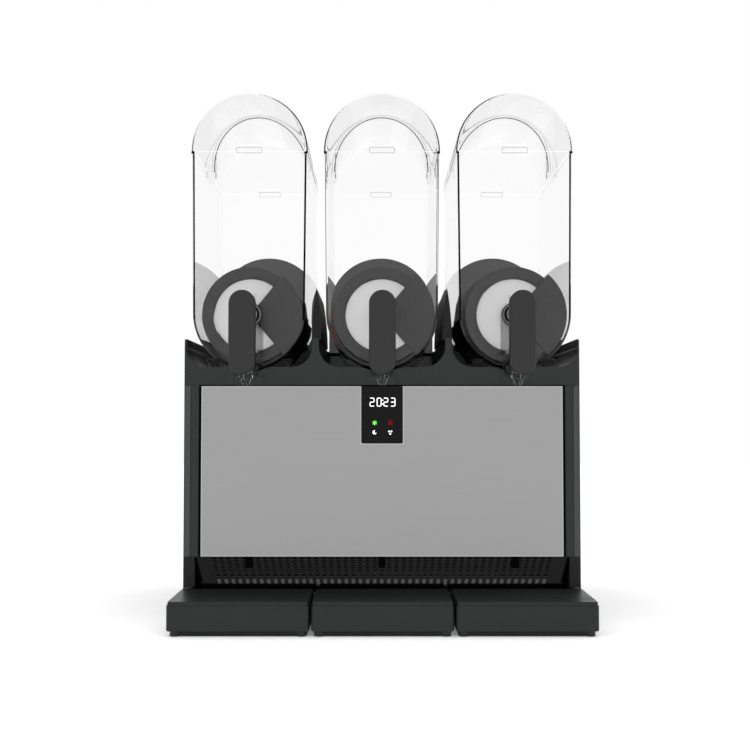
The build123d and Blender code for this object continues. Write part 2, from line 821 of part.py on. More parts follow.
# Drip trays, one in front of each tap
def tray_outline(inset):
    width = tray_width - 2 * inset
    depth = tray_back - machine_front - 2 * inset
    return Pos(0, (machine_front + tray_back) / 2) * RectangleRounded(width, depth, tray_corner - inset)


def drip_tray():
    tray = prism_up(tray_outline(0), tray_foot_height, tray_rim_z)
    tray = chamfer(tray.faces().sort_by(Axis.Z)[0].edges(), tray_wall / 2)
    tray -= prism_up(tray_outline(tray_wall), tray_foot_height + tray_wall, tray_rim_z + overrun)
    inset = tray_foot_radius + tray_foot_inset
    for x in (inset - tray_width / 2, tray_width / 2 - inset):
        for y in (machine_front + inset, tray_back - inset):
            foot = Pos(x, y) * RegularPolygon(tray_foot_radius, 8)
            tray += prism_up(foot, 0, tray_foot_height + tray_wall)
    return tray


def tray_cover():
    plate = prism_up(tray_outline(tray_cover_inset), tray_rim_z, tray_top_z)
    plate = chamfer(plate.faces().sort_by(Axis.Z)[-1].edges(), tray_cover_inset / 2)
    skirt = tray_wall + clearance
    rim = tray_outline(skirt) - tray_outline(skirt + tray_cover_inset)
    plate += prism_up(rim, tray_rim_z - tray_cover_lip, tray_rim_z)
    drain = Pos(0, tray_back - drain_set_back) * Rectangle(tray_width - 2 * drain_margin, drain_width)
    return plate - prism_up(drain, tray_rim_z - overrun, tray_top_z + overrun)


# Cooling circuit inside the body
def compressor():
    low = pan_top_z + compressor_foot_height
    high = low + compressor_height - compressor_dome
    can = prism_up(Circle(compressor_radius), low, high)
    cap = prism_up(Circle(compressor_radius - compressor_dome / 2), high, high + compressor_dome)
    plate = Rectangle(2 * compressor_foot_spread, 2 * compressor_foot_spread)
    body = can + cap + prism_up(plate, low - sheet, low)
    spot = compressor_foot_spread - compressor_foot_radius
    for x in (-spot, spot):
        for y in (-spot, spot):
            foot = Pos(x, y) * Rectangle(2 * compressor_foot_radius, 2 * compressor_foot_radius)
            body += prism_up(foot, pan_top_z, low - sheet)
    return Pos(compressor_x, compressor_y, 0) * body


def condenser():
    left = condenser_x - condenser_width / 2
    pitch = condenser_width / (fin_plate_count - 1)
    front = condenser_front_y
    back = front + condenser_depth
    outline = block(left, front + fin_plate_reach, left + condenser_width, back - fin_plate_reach)
    for index in range(fin_plate_count):
        x = left + index * pitch - fin_plate_thickness / 2
        outline += block(x, front, x + fin_plate_thickness, back)
    core = prism_up(outline, pan_top_z, pan_top_z + condenser_height)
    for row in range(tube_rows):
        z = pan_top_z + (row + 1 / 2) * condenser_height / tube_rows
        tube = disc(front + condenser_depth / 2, z, tube_radius)
        core += prism_across(tube, left - tube_tail, left + condenser_width + tube_tail)
    return core


def fan_shroud():
    left = condenser_x - condenser_width / 2
    right = left + condenser_width
    front = shroud_front_y
    back = front + shroud_depth
    top_z = pan_top_z + condenser_height
    box = prism_back(block(left, pan_top_z, right, top_z), front, back)
    box -= prism_back(block(left + shroud_wall, pan_top_z + shroud_wall, right - shroud_wall,
                            top_z - shroud_wall), front - overrun, back - shroud_wall)
    box -= prism_back(disc(condenser_x, fan_z, fan_radius + fan_tip_gap), back - shroud_wall - overrun,
                      back + overrun)
    return box


def fan_motor():
    front = fan_front_y + fan_hub_depth + fan_tip_gap
    arm_back = shroud_front_y + shroud_depth
    body = prism_back(disc(condenser_x, fan_z, fan_motor_radius), front, front + fan_motor_length)
    for quarter in range(4):
        turn = 45 + 90 * quarter
        reach = fan_radius + fan_tip_gap + fan_arm_width
        arm = Pos(condenser_x, fan_z) * Rot(0, 0, turn) * block(
            fan_motor_radius - overrun, -fan_arm_width / 2, reach, fan_arm_width / 2)
        body += prism_back(arm, front, front + shroud_wall)
        foot = Pos(condenser_x, fan_z) * Rot(0, 0, turn) * block(
            reach - fan_arm_width, -fan_arm_width / 2, reach, fan_arm_width / 2)
        body += prism_back(foot, arm_back, front + shroud_wall)
    return body + prism_back(disc(condenser_x, fan_z, fan_shaft_radius), front - fan_hub_depth / 2, front)


def fan_blades():
    hub = prism_back(disc(0, 0, fan_hub_radius), fan_front_y, fan_front_y + fan_hub_depth)
    hub -= prism_back(disc(0, 0, fan_shaft_radius + running_fit), fan_front_y + fan_hub_depth / 4,
                      fan_front_y + fan_hub_depth + overrun)
    middle = fan_front_y + fan_hub_depth / 2
    for index in range(fan_blades_count):
        outline = Polyline((fan_hub_radius - overrun, -fan_root_width / 2),
                           (fan_radius, -fan_tip_width / 2), (fan_radius, fan_tip_width / 2),
                           (fan_hub_radius - overrun, fan_root_width / 2), close=True)
        blade = extrude(make_face(outline), amount=fan_blade_thickness / 2, both=True)
        blade = Pos(0, middle, 0) * Rot(90 - fan_pitch, 0, 0) * blade
        hub += Rot(0, index * 360 / fan_blades_count, 0) * blade
    return Pos(condenser_x, 0, fan_z) * hub


# One file for each piece, the repeated fixed ones together
def whole(solids):
    return Compound(children=list(solids))


per_bowl = {
    "bowl": bowl, "lid": lid, "tap_handle": tap_handle, "handle_pin": handle_pin,
    "tap_piston": tap_piston, "tap_spring": return_spring,
    "auger": auger, "drive_shaft": drive_shaft,
    "drip_tray": drip_tray, "tray_cover": tray_cover,
}
parts = {
    "base_pan": base_pan(), "machine_feet": whole(machine_feet()),
    "left_side_panel": side_panel(-1), "right_side_panel": side_panel(1),
    "rear_panel": rear_panel(), "power_inlet": power_inlet(),
    "front_cover": front_cover(), "front_panel": front_panel(),
    "display_glass": display_glass(), "control_board": control_board(),
    "intake_grille": intake_grille(), "grille_tabs": whole(pull_tabs()),
    "top_cover": top_cover(), "bowl_dividers": whole(bowl_dividers()),
    "motor_housings": motor_housings(), "gearmotors": whole(per_module(gearmotor())),
    "evaporator_drums": whole(per_module(drum())), "bowl_gaskets": whole(per_module(bowl_gasket())),
    "compressor": compressor(), "condenser": condenser(), "fan_shroud": fan_shroud(),
    "fan_motor": fan_motor(), "fan_blades": fan_blades(),
}
for piece, make in per_bowl.items():
    for name, solid in zip(module_names, per_module(make())):
        parts[f"{name}_{piece}"] = solid

os.makedirs("parts", exist_ok=True)
for name, shape in parts.items():
    shape.label = name
    export_step(shape, f"parts/{name}.step")
    print(name, round(shape.volume), "mm3")
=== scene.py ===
import math
import bmesh
import bpy
from mathutils import Matrix, Vector


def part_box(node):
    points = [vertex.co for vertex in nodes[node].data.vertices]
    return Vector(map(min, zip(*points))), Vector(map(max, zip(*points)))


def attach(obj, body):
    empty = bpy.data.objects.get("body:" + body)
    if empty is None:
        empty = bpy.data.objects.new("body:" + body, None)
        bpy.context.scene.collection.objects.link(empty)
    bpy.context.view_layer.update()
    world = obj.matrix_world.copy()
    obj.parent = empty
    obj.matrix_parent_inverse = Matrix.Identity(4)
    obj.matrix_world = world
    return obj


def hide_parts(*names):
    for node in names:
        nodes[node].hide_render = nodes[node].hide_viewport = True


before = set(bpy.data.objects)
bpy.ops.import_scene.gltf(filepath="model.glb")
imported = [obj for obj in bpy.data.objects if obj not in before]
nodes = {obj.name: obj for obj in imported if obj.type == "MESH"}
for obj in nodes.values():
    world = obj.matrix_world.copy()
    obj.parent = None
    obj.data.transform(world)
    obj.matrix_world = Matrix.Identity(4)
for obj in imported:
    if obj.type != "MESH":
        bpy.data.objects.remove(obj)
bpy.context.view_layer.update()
print("stage: frame loaded,", len(nodes), "nodes")

moduleNames = ("left", "middle", "right")
mm = 0.001
bowlFront = -131 * mm  # front face of the bowls
augerAxis = 458 * mm  # height at which drums and augers turn


# Node helpers
def link(tree, source, target):
    tree.links.new(source, target)


def newGroup(name, inputs, outputs):
    group = bpy.data.node_groups.new(name, "ShaderNodeTree")
    for label, kind, value in inputs:
        socket = group.interface.new_socket(label, in_out="INPUT", socket_type=kind)
        socket.default_value = value
    for label, kind in outputs:
        group.interface.new_socket(label, in_out="OUTPUT", socket_type=kind)
    return group, group.nodes.new("NodeGroupInput"), group.nodes.new("NodeGroupOutput")


def mathNode(tree, operation, first, second):
    node = tree.nodes.new("ShaderNodeMath")
    node.operation = operation
    for index, value in enumerate((first, second)):
        if isinstance(value, (int, float)):
            node.inputs[index].default_value = value
        else:
            link(tree, value, node.inputs[index])
    return node.outputs[0]


# Moulded grain: fine height, broad tone and rubbed spots for plastics and paint
grainSet = {"fineDetail": 3.0, "broadDetail": 4.0, "rubStart": 0.52, "rubFull": 0.72}


def mouldGrainGroup():
    group, entry, out = newGroup(
        "mouldGrain",
        [("Grain Size", "NodeSocketFloat", 900.0), ("Tone Size", "NodeSocketFloat", 6.0)],
        [("Height", "NodeSocketFloat"), ("Tone", "NodeSocketFloat"), ("Rub", "NodeSocketFloat")])
    place = group.nodes.new("ShaderNodeTexCoord")
    fine = group.nodes.new("ShaderNodeTexNoise")
    fine.inputs["Detail"].default_value = grainSet["fineDetail"]
    broad = group.nodes.new("ShaderNodeTexNoise")
    broad.inputs["Detail"].default_value = grainSet["broadDetail"]
    for noise, label in ((fine, "Grain Size"), (broad, "Tone Size")):
        link(group, place.outputs["Object"], noise.inputs["Vector"])
        link(group, entry.outputs[label], noise.inputs["Scale"])
    rub = group.nodes.new("ShaderNodeMapRange")
    rub.inputs["From Min"].default_value = grainSet["rubStart"]
    rub.inputs["From Max"].default_value = grainSet["rubFull"]
    link(group, broad.outputs["Fac"], rub.inputs["Value"])
    link(group, fine.outputs["Fac"], out.inputs["Height"])
    link(group, broad.outputs["Fac"], out.inputs["Tone"])
    link(group, rub.outputs["Result"], out.inputs["Rub"])
    return group


# Brushed lines along X, for sheet steel and turned metal
brushSet = {"lineDetail": 2.0, "toneSize": 5.0}


def brushedGroup():
    group, entry, out = newGroup(
        "brushedLines",
        [("Line Size", "NodeSocketFloat", 700.0), ("Stretch", "NodeSocketFloat", 0.02)],
        [("Height", "NodeSocketFloat"), ("Tone", "NodeSocketFloat")])
    place = group.nodes.new("ShaderNodeTexCoord")
    split = group.nodes.new("ShaderNodeSeparateXYZ")
    join = group.nodes.new("ShaderNodeCombineXYZ")
    link(group, place.outputs["Object"], split.inputs[0])
    drawnOut = mathNode(group, "MULTIPLY", split.outputs["X"], entry.outputs["Stretch"])
    link(group, drawnOut, join.inputs["X"])
    link(group, split.outputs["Y"], join.inputs["Y"])
    link(group, split.outputs["Z"], join.inputs["Z"])
    lines = group.nodes.new("ShaderNodeTexNoise")
    lines.inputs["Detail"].default_value = brushSet["lineDetail"]
    link(group, join.outputs[0], lines.inputs["Vector"])
    link(group, entry.outputs["Line Size"], lines.inputs["Scale"])
    broad = group.nodes.new("ShaderNodeTexNoise")
    broad.inputs["Scale"].default_value = brushSet["toneSize"]
    link(group, place.outputs["Object"], broad.inputs["Vector"])
    link(group, lines.outputs["Fac"], out.inputs["Height"])
    link(group, broad.outputs["Fac"], out.inputs["Tone"])
    return group


mouldGrain = mouldGrainGroup()
brushedLines = brushedGroup()

# The part of a noise that shows as tone, its height as bump, and the soft edge of every hard finish
toneSet = {
    "noiseLow": 0.3, "noiseHigh": 0.7, "edgeRadius": 0.7 * mm, "edgeSamples": 4,
    "grainBump": 0.25, "lineBump": 0.2, "metalShine": 0.3,
}


def newMaterial(name):
    material = bpy.data.materials.new(name)
    material.use_nodes = True
    return material, material.node_tree, material.node_tree.nodes["Principled BSDF"]


def toneMix(tree, fac, dark, light, target):
    mix = tree.nodes.new("ShaderNodeMix")
    mix.data_type = "RGBA"
    mix.inputs["A"].default_value = (*dark, 1.0)
    mix.inputs["B"].default_value = (*light, 1.0)
    link(tree, fac, mix.inputs["Factor"])
    link(tree, mix.outputs["Result"], target)


def spreadValue(tree, fac, low, high, target):
    spread = tree.nodes.new("ShaderNodeMapRange")
    spread.inputs["From Min"].default_value = toneSet["noiseLow"]
    spread.inputs["From Max"].default_value = toneSet["noiseHigh"]
    spread.inputs["To Min"].default_value = low
    spread.inputs["To Max"].default_value = high
    link(tree, fac, spread.inputs["Value"])
    link(tree, spread.outputs["Result"], target)


def bumpFrom(tree, height, strength, distance, target):
    rounded = tree.nodes.new("ShaderNodeBevel")
    rounded.samples = toneSet["edgeSamples"]
    rounded.inputs["Radius"].default_value = toneSet["edgeRadius"]
    bump = tree.nodes.new("ShaderNodeBump")
    bump.inputs["Strength"].default_value = strength
    bump.inputs["Distance"].default_value = distance
    link(tree, height, bump.inputs["Height"])
    link(tree, rounded.outputs["Normal"], bump.inputs["Normal"])
    link(tree, bump.outputs["Normal"], target)


def mouldedPlastic(name, colour, spread, roughness, shine=0.2, grainSize=900.0, grainDepth=0.00003):
    material, tree, shader = newMaterial(name)
    shader.inputs["Specular IOR Level"].default_value = shine
    grain = tree.nodes.new("ShaderNodeGroup")
    grain.node_tree = mouldGrain
    grain.inputs["Grain Size"].default_value = grainSize
    dark = [value * (1 - spread) for value in colour]
    light = [value * (1 + spread) for value in colour]
    toneMix(tree, grain.outputs["Tone"], dark, light, shader.inputs["Base Color"])
    spreadValue(tree, grain.outputs["Rub"], roughness[0], roughness[1], shader.inputs["Roughness"])
    bumpFrom(tree, grain.outputs["Height"], toneSet["grainBump"], grainDepth, shader.inputs["Normal"])
    return material


def brushedMetal(name, colour, spread, roughness, metallic, lineSize=700.0, stretch=0.02, depth=0.00002):
    material, tree, shader = newMaterial(name)
    shader.inputs["Metallic"].default_value = metallic
    shader.inputs["Specular IOR Level"].default_value = toneSet["metalShine"]
    lines = tree.nodes.new("ShaderNodeGroup")
    lines.node_tree = brushedLines
    lines.inputs["Line Size"].default_value = lineSize
    lines.inputs["Stretch"].default_value = stretch
    dark = [value * (1 - spread) for value in colour]
    light = [value * (1 + spread) for value in colour]
    toneMix(tree, lines.outputs["Height"], dark, light, shader.inputs["Base Color"])
    spreadValue(tree, lines.outputs["Tone"], roughness[0], roughness[1], shader.inputs["Roughness"])
    bumpFrom(tree, lines.outputs["Height"], toneSet["lineBump"], depth, shader.inputs["Normal"])
    return material


# Lamps pass straight through clear plastic, and so does light that has wandered long inside a wall.
# Where the sheet is seen along its face, it greys.
clearTone = {"longestPath": 6.5, "toneSize": 9.0, "darkShare": 0.985, "facingBlend": 0.5, "facingPower": 8.0}


def clearPlastic(name, colour, edgeGrey, ior, roughness):
    material, tree, shader = newMaterial(name)
    shader.inputs["Transmission Weight"].default_value = 1.0
    shader.inputs["IOR"].default_value = ior
    rays = tree.nodes.new("ShaderNodeLightPath")
    passing = tree.nodes.new("ShaderNodeBsdfTransparent")
    passing.inputs["Color"].default_value = (*colour, 1.0)
    wandered = tree.nodes.new("ShaderNodeBsdfTransparent")
    wandered.inputs["Color"].default_value = (*edgeGrey, 1.0)
    deep = tree.nodes.new("ShaderNodeMixShader")
    longPath = mathNode(tree, "GREATER_THAN", rays.outputs["Ray Depth"], clearTone["longestPath"])
    link(tree, longPath, deep.inputs[0])
    link(tree, shader.outputs[0], deep.inputs[1])
    link(tree, wandered.outputs[0], deep.inputs[2])
    mix = tree.nodes.new("ShaderNodeMixShader")
    link(tree, rays.outputs["Is Shadow Ray"], mix.inputs[0])
    link(tree, deep.outputs[0], mix.inputs[1])
    link(tree, passing.outputs[0], mix.inputs[2])
    link(tree, mix.outputs[0], tree.nodes["Material Output"].inputs["Surface"])
    grain = tree.nodes.new("ShaderNodeGroup")
    grain.node_tree = mouldGrain
    grain.inputs["Tone Size"].default_value = clearTone["toneSize"]
    dark = [value * clearTone["darkShare"] for value in colour]
    edge = tree.nodes.new("ShaderNodeMix")
    edge.data_type = "RGBA"
    edge.inputs["B"].default_value = (*edgeGrey, 1.0)
    toneMix(tree, grain.outputs["Tone"], dark, colour, edge.inputs["A"])
    weight = tree.nodes.new("ShaderNodeLayerWeight")
    weight.inputs["Blend"].default_value = clearTone["facingBlend"]
    grazing = mathNode(tree, "POWER", weight.outputs["Facing"], clearTone["facingPower"])
    link(tree, grazing, edge.inputs["Factor"])
    link(tree, edge.outputs["Result"], shader.inputs["Base Color"])
    spreadValue(tree, grain.outputs["Rub"], roughness[0], roughness[1], shader.inputs["Roughness"])
    return material


litSet = {"roughness": 0.5, "toneSize": 300.0, "dimShare": 0.94}


def litPaint(name, colour, strength):
    material, tree, shader = newMaterial(name)
    shader.inputs["Roughness"].default_value = litSet["roughness"]
    grain = tree.nodes.new("ShaderNodeGroup")
    grain.node_tree = mouldGrain
    grain.inputs["Tone Size"].default_value = litSet["toneSize"]
    dim = [value * litSet["dimShare"] for value in colour]
    toneMix(tree, grain.outputs["Tone"], dim, colour, shader.inputs["Base Color"])
    toneMix(tree, grain.outputs["Tone"], dim, colour, shader.inputs["Emission Color"])
    shader.inputs["Emission Strength"].default_value = strength
    return material


# Clear ones: colour, grey at a grazing view, refraction and roughness. The others: colour, spread of
# its tone and roughness, then shine and grain for plastic, or metallic share and lines for metal
finishes = {
    "clearPlastic": clearPlastic("clearPlastic", (0.993, 0.993, 0.993), (0.86, 0.86, 0.86), 1.16,
                                 (0.0, 0.003)),
    "lidPlastic": clearPlastic("lidPlastic", (0.978, 0.979, 0.979), (0.88, 0.88, 0.88), 1.2, (0.0, 0.003)),
    # Colours for the lines on the lids: painted shade and painted highlights of the clear edges
    "paintedDarkLine": mouldedPlastic("paintedDarkLine", (0.12, 0.12, 0.12), 0.1, (0.3, 0.4)),
    "paintedLightLine": mouldedPlastic("paintedLightLine", (0.46, 0.46, 0.46), 0.05, (0.3, 0.4)),
    "coverPlastic": mouldedPlastic("coverPlastic", (0.025, 0.0275, 0.0265), 0.10, (0.38, 0.5)),
    "handlePlastic": mouldedPlastic("handlePlastic", (0.030, 0.030, 0.030), 0.08, (0.42, 0.52)),
    "trayPlastic": mouldedPlastic("trayPlastic", (0.020, 0.0215, 0.021), 0.10, (0.36, 0.46)),
    "blackPlastic": mouldedPlastic("blackPlastic", (0.008, 0.008, 0.008), 0.15, (0.4, 0.55)),
    "augerPlastic": mouldedPlastic("augerPlastic", (0.033, 0.033, 0.033), 0.10, (0.38, 0.5)),
    "humpPlastic": mouldedPlastic("humpPlastic", (0.064, 0.064, 0.064), 0.06, (0.5, 0.62)),
    "bodyPaint": mouldedPlastic("bodyPaint", (0.026, 0.027, 0.027), 0.10, (0.35, 0.45), 0.2, 1500.0,
                                0.00004),
    "boardGreen": mouldedPlastic("boardGreen", (0.02, 0.12, 0.05), 0.2, (0.4, 0.6)),
    "padRubber": mouldedPlastic("padRubber", (0.012, 0.012, 0.012), 0.15, (0.7, 0.85), 0.15),
    "gasketRubber": mouldedPlastic("gasketRubber", (0.16, 0.004, 0.004), 0.15, (0.5, 0.65)),
    "displayBlack": mouldedPlastic("displayBlack", (0.006, 0.006, 0.007), 0.05, (0.12, 0.2), 0.1, 400.0,
                                   0.000005),
    "nutPlastic": mouldedPlastic("nutPlastic", (0.24, 0.24, 0.24), 0.03, (0.12, 0.18), 0.7),
    # A lighter copy of the cover plastic: the painted highlight on the rounded outer corner of the columns
    "columnBevelAndHighlight": mouldedPlastic("columnBevelAndHighlight", (0.058, 0.062, 0.063), 0.06, (0.38, 0.5)),
    # Near-black that paints shade, in the gap round the panel and behind the grille; the grille tabs take it
    # too
    "shadeBlack": mouldedPlastic("shadeBlack", (0.0015, 0.0015, 0.0015), 0.2, (0.7, 0.8), 0.02),
    "grillePlastic": mouldedPlastic("grillePlastic", (0.034, 0.034, 0.034), 0.1, (0.5, 0.6), 0.15),
    "grilleStrip": mouldedPlastic("grilleStrip", (0.16, 0.162, 0.162), 0.08, (0.5, 0.6), 0.15),
    "panelSteel": brushedMetal("panelSteel", (0.345, 0.345, 0.345), 0.03, (0.42, 0.5), 0.0),
    # A lighter copy of the panel steel: the painted highlight on the panel's rolled edge
    "panelEdgeHighlight": brushedMetal("panelEdgeHighlight", (0.54, 0.54, 0.54), 0.03, (0.35, 0.45), 0.0),
    "drumSteel": brushedMetal("drumSteel", (0.5, 0.5, 0.5), 0.04, (0.32, 0.42), 0.25, 500.0),
    "springSteel": brushedMetal("springSteel", (0.6, 0.6, 0.6), 0.08, (0.18, 0.28), 1.0, 1200.0, 1.0),
    "finAluminium": brushedMetal("finAluminium", (0.62, 0.63, 0.64), 0.06, (0.3, 0.4), 1.0),
}

rootFinish = {
    "base_pan": "bodyPaint", "machine_feet": "padRubber", "left_side_panel": "bodyPaint",
    "right_side_panel": "bodyPaint", "rear_panel": "bodyPaint", "power_inlet": "blackPlastic",
    "front_cover": "coverPlastic", "front_panel": "panelSteel", "display_glass": "displayBlack",
    "control_board": "boardGreen", "intake_grille": "grillePlastic", "grille_tabs": "shadeBlack",
    "top_cover": "coverPlastic", "bowl_dividers": "blackPlastic", "motor_housings": "humpPlastic",
    "gearmotors": "bodyPaint", "evaporator_drums": "drumSteel", "bowl_gaskets": "gasketRubber",
    "compressor": "bodyPaint", "condenser": "finAluminium", "fan_shroud": "bodyPaint",
    "fan_motor": "bodyPaint", "fan_blades": "blackPlastic",
}
moduleFinish = {
    "bowl": "clearPlastic", "lid": "lidPlastic", "tap_handle": "handlePlastic",
    "handle_pin": "springSteel", "tap_piston": "clearPlastic", "tap_spring": "springSteel",
    "auger": "augerPlastic", "drive_shaft": "nutPlastic", "drip_tray": "trayPlastic",
    "tray_cover": "trayPlastic",
}


def dressNodes():
    chosen = dict(rootFinish)
    for module in moduleNames:
        for piece, finish in moduleFinish.items():
            chosen[f"{module}_{piece}"] = finish
    for name, finish in chosen.items():
        for holder in nodes[name].material_slots:
            holder.material = finishes[finish]
    print("stage: finishes on", len(chosen), "nodes")


dressNodes()


# Camera, where the photograph was taken from
cameraSet = {
    "centreX": -0.0105, "distance": 1.700, "height": 0.297, "tiltUp": 2.32, "lens": 54.51, "sensor": 36.0,
}


def placeCamera():
    data = bpy.data.cameras.new("photoCamera")
    data.lens = cameraSet["lens"]
    data.sensor_width = cameraSet["sensor"]
    camera = bpy.data.objects.new("photoCamera", data)
    depth = bowlFront - cameraSet["distance"]
    camera.location = (cameraSet["centreX"], depth, cameraSet["height"])
    camera.rotation_euler = (math.radians(90 + cameraSet["tiltUp"]), 0, 0)
    bpy.context.scene.collection.objects.link(camera)
    bpy.context.scene.camera = camera


# Studio: white surround and one frontal key, kept out of reflections
lightSet = {"keyPower": 2.36, "keyAngle": 1.5, "keyHeight": 3.0, "fill": 0.25, "seen": 1.0}


def placeLights():
    key = bpy.data.lights.new("keyLight", "SUN")
    key.energy = lightSet["keyPower"]
    key.angle = math.radians(lightSet["keyAngle"])
    keyObject = bpy.data.objects.new("keyLight", key)
    keyObject.rotation_euler = (math.radians(90 - lightSet["keyHeight"]), 0, 0)
    keyObject.visible_glossy = False
    keyObject.visible_transmission = False
    bpy.context.scene.collection.objects.link(keyObject)


def seenRays(tree):
    rays = tree.nodes.new("ShaderNodeLightPath")
    seen = mathNode(tree, "MAXIMUM", rays.outputs["Is Camera Ray"], rays.outputs["Is Glossy Ray"])
    return mathNode(tree, "MAXIMUM", seen, rays.outputs["Is Transmission Ray"])


def placeSurround():
    world = bpy.data.worlds.new("studio")
    bpy.context.scene.world = world
    world.use_nodes = True
    tree = world.node_tree
    fill = tree.nodes["Background"]
    fill.inputs["Color"].default_value = (1, 1, 1, 1)
    fill.inputs["Strength"].default_value = lightSet["fill"]
    white = tree.nodes.new("ShaderNodeBackground")
    white.inputs["Color"].default_value = (1, 1, 1, 1)
    white.inputs["Strength"].default_value = lightSet["seen"]
    mix = tree.nodes.new("ShaderNodeMixShader")
    link(tree, seenRays(tree), mix.inputs[0])
    link(tree, fill.outputs[0], mix.inputs[1])
    link(tree, white.outputs[0], mix.inputs[2])
    link(tree, mix.outputs[0], tree.nodes["World Output"].inputs["Surface"])


# The floor is lit like the rest, and is seen so bright that only its shadows show
floorSet = {"size": 6.0, "squares": 8, "paper": 0.94, "fibre": 0.01, "fibreSize": 3.0, "seen": 4.1}


def placeFloor():
    grid = bmesh.new()
    squares = floorSet["squares"]
    bmesh.ops.create_grid(grid, x_segments=squares, y_segments=squares, size=floorSet["size"])
    mesh = bpy.data.meshes.new("studioFloor")
    grid.to_mesh(mesh)
    grid.free()
    floor = bpy.data.objects.new("studioFloor", mesh)
    bpy.context.scene.collection.objects.link(floor)
    material = bpy.data.materials.new("floorPaper")
    material.use_nodes = True
    tree = material.node_tree
    tree.nodes.remove(tree.nodes["Principled BSDF"])
    paper = tree.nodes.new("ShaderNodeBsdfDiffuse")
    noise = tree.nodes.new("ShaderNodeTexNoise")
    noise.inputs["Scale"].default_value = floorSet["fibreSize"]
    fibres = tree.nodes.new("ShaderNodeMix")
    fibres.data_type = "RGBA"
    fibres.inputs["A"].default_value = (floorSet["paper"] - floorSet["fibre"],) * 3 + (1.0,)
    fibres.inputs["B"].default_value = (floorSet["paper"] + floorSet["fibre"],) * 3 + (1.0,)
    link(tree, noise.outputs["Fac"], fibres.inputs["Factor"])
    seen = tree.nodes.new("ShaderNodeMix")
    seen.data_type = "RGBA"
    seen.clamp_result = False
    link(tree, seenRays(tree), seen.inputs["Factor"])
    link(tree, fibres.outputs["Result"], seen.inputs["A"])
    seen.inputs["B"].default_value = (floorSet["seen"],) * 3 + (1.0,)
    link(tree, seen.outputs["Result"], paper.inputs["Color"])
    link(tree, paper.outputs[0], tree.nodes["Material Output"].inputs["Surface"])
    mesh.materials.append(material)


# Display: rounded seven-stroke digits, a colon and four plain pictograms, each colour with its glow
displaySet = {
    "digitHeight": 12.0 * mm, "digitWidth": 5.9 * mm, "stroke": 1.5 * mm, "cornerShare": 1.1,
    "digitPlaces": (-14.9 * mm, -4.4 * mm, 5.7 * mm, 16.4 * mm), "digitCentre": 325.2 * mm,
    "colonX": 1.0 * mm, "colonRise": 2.9 * mm, "colonRadius": 0.9 * mm,
    "iconX": 11.6 * mm, "iconShift": 0.6 * mm, "upperIcon": 294.2 * mm, "lowerIcon": 280.2 * mm,
    "iconSize": 6.2 * mm, "starSize": 0.66, "starInner": 0.5, "starPoints": 12, "moonSize": 0.47,
    "lobeReach": 0.36, "lobeSize": 0.19, "lobeAngles": (35, 145, 270), "lobeSides": 12, "colonSides": 14,
    "lift": 0.25 * mm, "seat": 0.6, "flatness": 0.12, "strokeSteps": 3, "cornerSteps": 6, "digits": "2023",
    "white": ((0.95, 0.95, 0.95), 0.6), "green": ((0.3, 0.85, 0.18), 0.5), "red": ((0.5, 0.03, 0.035), 0.22),
}
# Both arcs of the moon in degrees, and its bite in shares of the radius
moonSet = {
    "outer": range(75, 346, 15), "inner": range(295, 119, -15), "biteX": 0.55, "biteZ": 0.4, "bite": 0.8,
}
digitStrokes = {
    "0": [[(0, 0), (0, 1), (1, 1), (1, 0), (0, 0)]],
    "2": [[(0, 1), (1, 1), (1, 0.5), (0, 0.5), (0, 0), (1, 0)]],
    "3": [[(0, 1), (1, 1), (1, 0), (0, 0)], [(0, 0.5), (1, 0.5)]],
}


def roundedPath(points, radius):
    closed = points[0] == points[-1]
    corners = [Vector(point) for point in points]
    ring = corners[:-1] if closed else corners
    path = []
    for index, corner in enumerate(ring):
        if not closed and index in (0, len(ring) - 1):
            path.append(corner)
            continue
        before = (ring[index - 1] - corner).normalized()
        after = (ring[(index + 1) % len(ring)] - corner).normalized()
        centre = corner + (before + after) * radius
        for step in range(displaySet["cornerSteps"] + 1):
            aim = (-after).slerp(-before, step / displaySet["cornerSteps"])
            path.append(centre + aim * radius)
    return path, closed


def litStroke(name, points, depthY, material):
    path, closed = points
    data = bpy.data.curves.new(name, "CURVE")
    data.dimensions = "3D"
    data.bevel_depth = displaySet["stroke"] / 2
    data.bevel_resolution = displaySet["strokeSteps"]
    data.use_fill_caps = True
    line = data.splines.new("POLY")
    line.points.add(len(path) - 1)
    for spot, place in zip(line.points, path):
        spot.co = (place.x, 0, place.y, 1)
    line.use_cyclic_u = closed
    data.materials.append(material)
    stroke = bpy.data.objects.new(name, data)
    stroke.scale = (1, displaySet["flatness"], 1)
    stroke.location = (0, depthY, 0)
    bpy.context.scene.collection.objects.link(stroke)
    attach(stroke, "machine")
    return stroke


def litShape(name, outline, depthY, material):
    shape = bmesh.new()
    face = shape.faces.new([shape.verts.new((x, depthY, z)) for x, z in outline])
    bmesh.ops.solidify(shape, geom=[face], thickness=displaySet["lift"])
    bmesh.ops.recalc_face_normals(shape, faces=shape.faces)
    mesh = bpy.data.meshes.new(name)
    shape.to_mesh(mesh)
    shape.free()
    mesh.materials.append(material)
    piece = bpy.data.objects.new(name, mesh)
    bpy.context.scene.collection.objects.link(piece)
    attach(piece, "machine")
    return piece


def ringPoints(centreX, centreZ, radius, count, start=0.0, innerShare=1.0):
    points = []
    for index in range(count):
        angle = start + 2 * math.pi * index / count
        reach = radius * (innerShare if index % 2 else 1.0)
        points.append((centreX + reach * math.cos(angle), centreZ + reach * math.sin(angle)))
    return points


def arcPoints(centreX, centreZ, radius, angles):
    turns = [math.radians(angle) for angle in angles]
    return [(centreX + radius * math.cos(turn), centreZ + radius * math.sin(turn)) for turn in turns]


def crescent(centreX, centreZ, radius):
    biteX, biteZ = centreX + radius * moonSet["biteX"], centreZ + radius * moonSet["biteZ"]
    return (arcPoints(centreX, centreZ, radius, moonSet["outer"])
            + arcPoints(biteX, biteZ, radius * moonSet["bite"], moonSet["inner"]))


